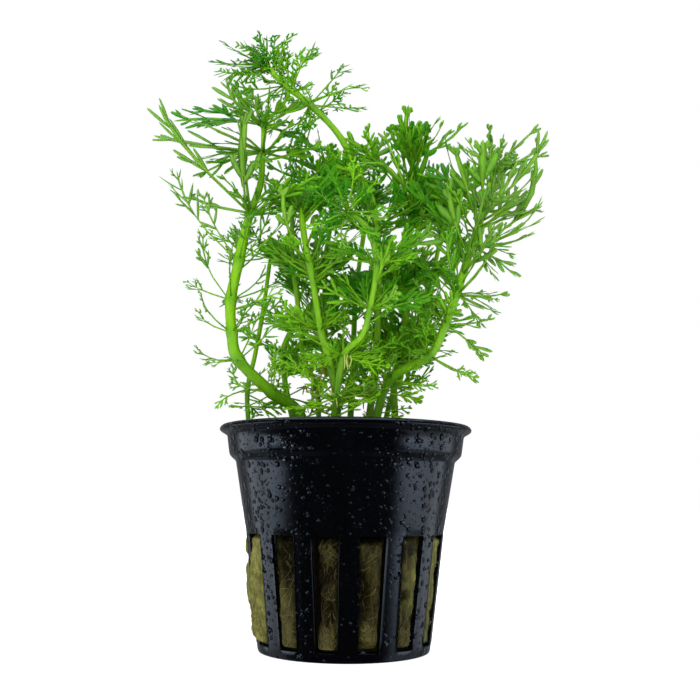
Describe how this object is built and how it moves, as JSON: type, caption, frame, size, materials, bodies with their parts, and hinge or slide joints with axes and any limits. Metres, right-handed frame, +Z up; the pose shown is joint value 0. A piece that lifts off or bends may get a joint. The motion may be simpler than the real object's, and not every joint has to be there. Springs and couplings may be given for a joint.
{
  "type": "potted giant ambulia",
  "caption": "Bunch of feathery whorled aquarium stems rooted in rock wool in a black slotted net pot; stands on the pot's flat base.",
  "frame": {"origin": "centre of the pot's flat underside, on the surface the pot stands on", "axes": "+Z up along the pot's axis, -Y towards the front of the plant, +X to the right seen from the front"},
  "size_m": [0.0874, 0.0712, 0.1351],
  "materials": {
    "pot_plastic": "smooth black moulded plastic, wet, with fine beads on it",
    "rock_wool": "matted olive-yellow mineral fibre, damp",
    "stem": "smooth, fleshy yellow-green",
    "leaf": "thin green blades, satin, paler on the ribs"
  },
  "bodies": {
    "root": {"leaves_arching_1": "leaf", "leaves_arching_2": "leaf", "leaves_arching_3": "leaf", "leaves_arching_4": "leaf", "leaves_arching_5": "leaf", "leaves_arching_6": "leaf", "leaves_arching_7": "leaf", "leaves_back_centre_1": "leaf", "leaves_back_centre_2": "leaf", "leaves_back_centre_3": "leaf", "leaves_back_right_1": "leaf", "leaves_back_right_2": "leaf", "leaves_front_centre_1": "leaf", "leaves_front_centre_2": "leaf", "leaves_front_centre_3": "leaf", "leaves_front_centre_4": "leaf", "leaves_front_centre_5": "leaf", "leaves_front_left_1": "leaf", "leaves_front_left_2": "leaf", "leaves_front_left_3": "leaf", "leaves_front_left_4": "leaf", "leaves_mid_left_1": "leaf", "leaves_mid_left_2": "leaf", "leaves_mid_left_3": "leaf", "leaves_mid_right_1": "leaf", "leaves_mid_right_2": "leaf", "leaves_mid_right_3": "leaf", "leaves_mid_right_4": "leaf", "leaves_rim_left_1": "leaf", "leaves_rim_left_2": "leaf", "leaves_slender_left_1": "leaf", "leaves_slender_left_2": "leaf", "leaves_tall_left_1": "leaf", "leaves_tall_left_2": "leaf", "leaves_tall_left_3": "leaf", "leaves_tall_left_4": "leaf", "leaves_tall_left_5": "leaf", "leaves_tall_left_6": "leaf", "leaves_tall_left_7": "leaf", "leaves_tall_left_8": "leaf", "leaves_tall_right_1": "leaf", "leaves_tall_right_2": "leaf", "leaves_tall_right_3": "leaf", "leaves_tall_right_4": "leaf", "leaves_tall_right_5": "leaf", "leaves_tall_right_6": "leaf", "leaves_tall_right_7": "leaf", "net_pot": "pot_plastic", "rock_wool": "rock_wool", "stem_arching": "stem", "stem_back_centre": "stem", "stem_back_right": "stem", "stem_front_centre": "stem", "stem_front_left": "stem", "stem_mid_left": "stem", "stem_mid_right": "stem", "stem_rim_left": "stem", "stem_slender_left": "stem", "stem_tall_left": "stem", "stem_tall_right": "stem"}
  },
  "joints": []
}
